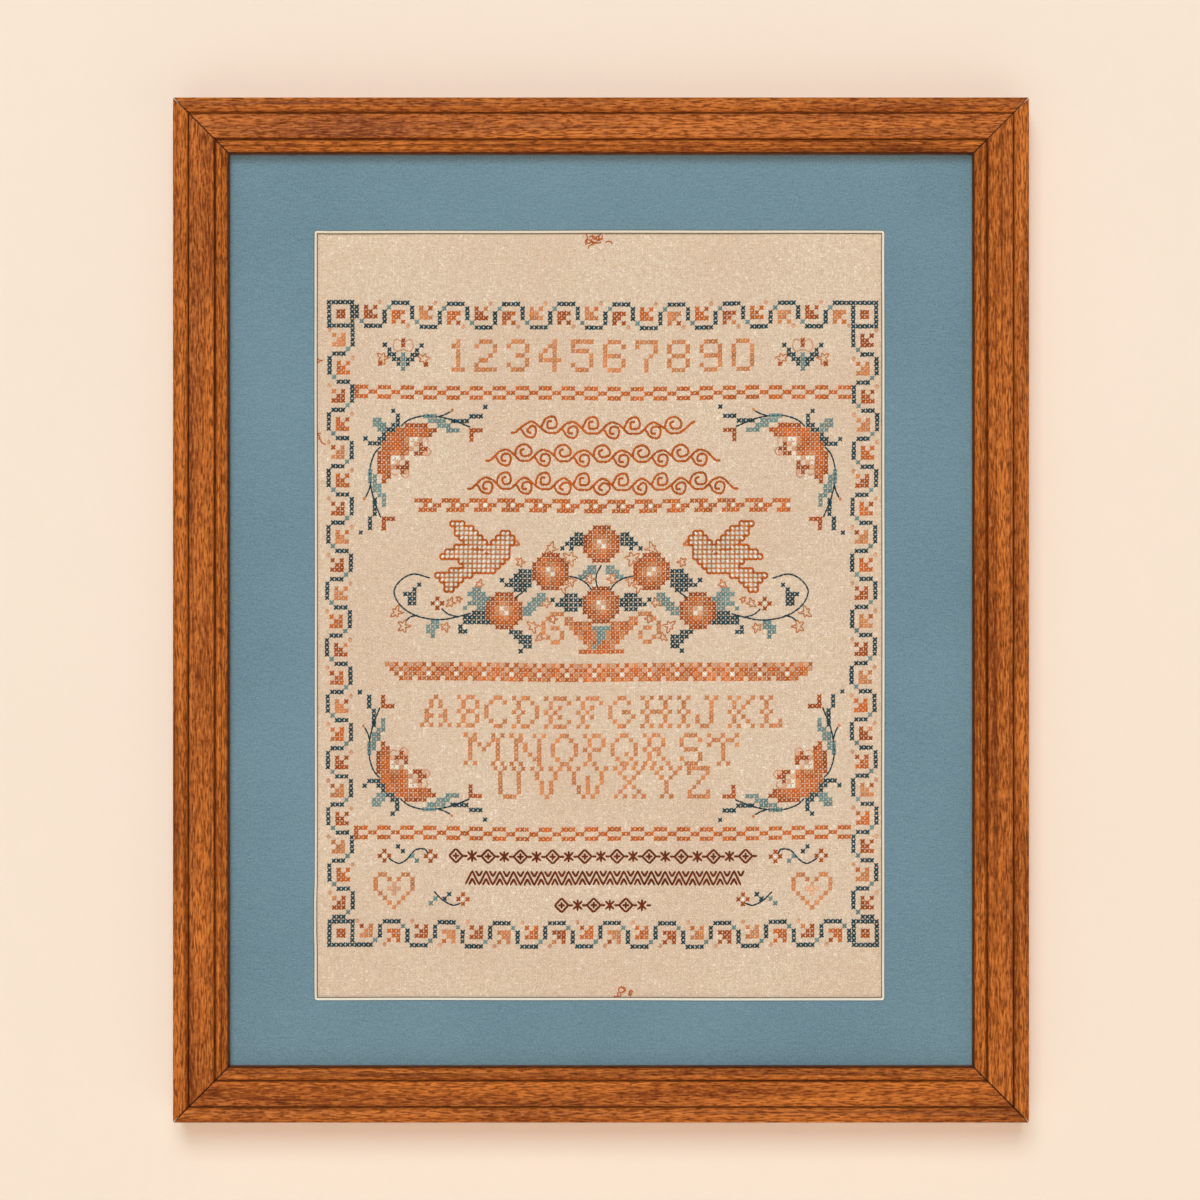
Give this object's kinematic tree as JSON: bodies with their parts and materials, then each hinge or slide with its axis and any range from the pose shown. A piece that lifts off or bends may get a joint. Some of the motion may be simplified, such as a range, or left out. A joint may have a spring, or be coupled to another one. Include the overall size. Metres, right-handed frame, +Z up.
{
  "type": "framed cross stitch sampler",
  "caption": "Linen cloth worked with cross stitch, stretched flat behind a bevelled window mat in a mitred oak frame that hangs from a toothed hanger on its back.",
  "frame": {"origin": "middle of the hanger's raised strip, on the plane where it meets the wall", "axes": "+Z up, +Y into the wall so the stitched face looks along -Y, +X to the viewer's right"},
  "size_m": [0.339, 0.022, 0.406],
  "materials": {
    "linen": "matt evenweave",
    "blue_mat_board": "matt paper",
    "stained_oak": "satin stain and varnish",
    "backing_board": "matt board",
    "zinced_steel": "zinc plated"
  },
  "bodies": {
    "root": {"sampler_cloth": "linen", "mat_board": "blue_mat_board", "frame_top": "stained_oak", "frame_bottom": "stained_oak", "frame_left": "stained_oak", "frame_right": "stained_oak", "backing_board": "backing_board", "framer_point_1": "zinced_steel", "framer_point_2": "zinced_steel", "framer_point_3": "zinced_steel", "framer_point_4": "zinced_steel", "framer_point_5": "zinced_steel", "framer_point_6": "zinced_steel", "framer_point_7": "zinced_steel", "framer_point_8": "zinced_steel", "sawtooth_hanger": "zinced_steel", "hanger_nail_1": "zinced_steel", "hanger_nail_2": "zinced_steel"}
  },
  "joints": []
}
